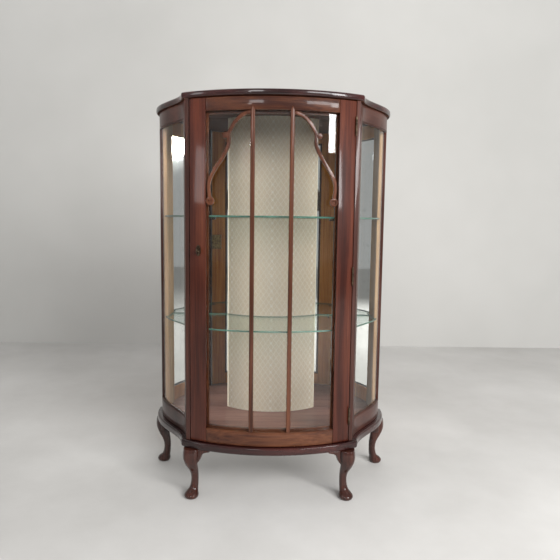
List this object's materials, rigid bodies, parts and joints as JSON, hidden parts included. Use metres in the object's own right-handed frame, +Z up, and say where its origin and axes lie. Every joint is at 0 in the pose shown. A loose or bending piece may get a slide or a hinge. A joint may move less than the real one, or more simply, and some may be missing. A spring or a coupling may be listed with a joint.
{
  "type": "display cabinet",
  "caption": "Bow-fronted glazed display cabinet with a hinged door, mirrored back, fabric column and glass shelves on short cabriole legs.",
  "frame": {"origin": "centre of the overall box on the floor", "axes": "+Z up, the door faces -Y, +X to the right of someone facing the door"},
  "size_m": [0.7992, 0.3686, 1.2],
  "materials": {
    "mahogany": "semi-gloss polished reddish-brown mahogany",
    "dark_wood": "glossy dark red-brown stained mahogany",
    "inner_wood": "plain unpolished orange-brown wood",
    "pane_glass": "clear bent window glass",
    "shelf_glass": "clear plate glass with green polished edges",
    "mirror": "silvered looking glass",
    "fabric": "cream woven furnishing fabric with rows of raised dots",
    "brass": "aged brass",
    "steel": "plain steel"
  },
  "bodies": {
    "case": {"back_panel": "inner_wood", "base_board": "dark_wood", "column_fabric": "fabric", "column_former": "inner_wood", "ear_front_front_left": "dark_wood", "ear_front_front_right": "dark_wood", "ear_front_side_left": "dark_wood", "ear_front_side_right": "dark_wood", "ear_rear_side_left": "dark_wood", "ear_rear_side_right": "dark_wood", "floor_panel": "inner_wood", "front_post_left": "mahogany", "front_post_right": "mahogany", "hinge_1_case_leaf": "brass", "hinge_2_case_leaf": "brass", "hinge_3_case_leaf": "brass", "leg_front_left": "dark_wood", "leg_front_right": "dark_wood", "leg_rear_left": "dark_wood", "leg_rear_right": "dark_wood", "mirror_left": "mirror", "mirror_right": "mirror", "peg_lower_back_left": "brass", "peg_lower_back_right": "brass", "peg_lower_front_left": "brass", "peg_lower_front_right": "brass", "peg_upper_back_left": "brass", "peg_upper_back_right": "brass", "peg_upper_front_left": "brass", "peg_upper_front_right": "brass", "rear_post_left": "mahogany", "rear_post_right": "mahogany", "side_glass_left": "pane_glass", "side_glass_right": "pane_glass", "side_rail_high_left": "mahogany", "side_rail_high_right": "mahogany", "side_rail_low_left": "mahogany", "side_rail_low_right": "mahogany", "strike_plate": "brass", "top_board": "mahogany"},
    "door": {"bar_left": "mahogany", "bar_right": "mahogany", "door_glass": "pane_glass", "door_rail_high": "mahogany", "door_rail_low": "mahogany", "escutcheon": "brass", "fret_left": "mahogany", "fret_right": "mahogany", "glazing_bead": "inner_wood", "hinge_1_door_leaf": "brass", "hinge_2_door_leaf": "brass", "hinge_3_door_leaf": "brass", "hinge_stile": "mahogany", "lock_case": "brass", "lock_stile": "mahogany"},
    "key": {"key": "brass"},
    "bolt": {"lock_bolt": "steel"},
    "lower_shelf": {"shelf_lower": "shelf_glass"},
    "upper_shelf": {"shelf_upper": "shelf_glass"}
  },
  "joints": [
    {"name": "door_swing", "type": "hinge", "parent": "case", "child": "door", "pos_m": [0.23875, -0.12415, 0.68], "axis": [0, 0, 1], "range_deg": [0, 105]},
    {"name": "key_turn", "type": "hinge", "parent": "door", "child": "key", "pos_m": [-0.2109, -0.13254, 0.752], "axis": [0, -1, 0], "range_deg": [0, 90]},
    {"name": "bolt_slide", "type": "slide", "parent": "door", "child": "bolt", "axis": [-1, 0, 0], "range_m": [0, 0.009]},
    {"name": "lower_shelf_lift", "type": "slide", "parent": "case", "child": "lower_shelf", "axis": [0, 0, 1], "range_m": [0, 0.03]},
    {"name": "upper_shelf_lift", "type": "slide", "parent": "case", "child": "upper_shelf", "axis": [0, 0, 1], "range_m": [0, 0.03]}
  ],
  "couplings": [
    {"joint": "bolt_slide", "follows": "key_turn", "m_per_rad": 0.0057296}
  ]
}
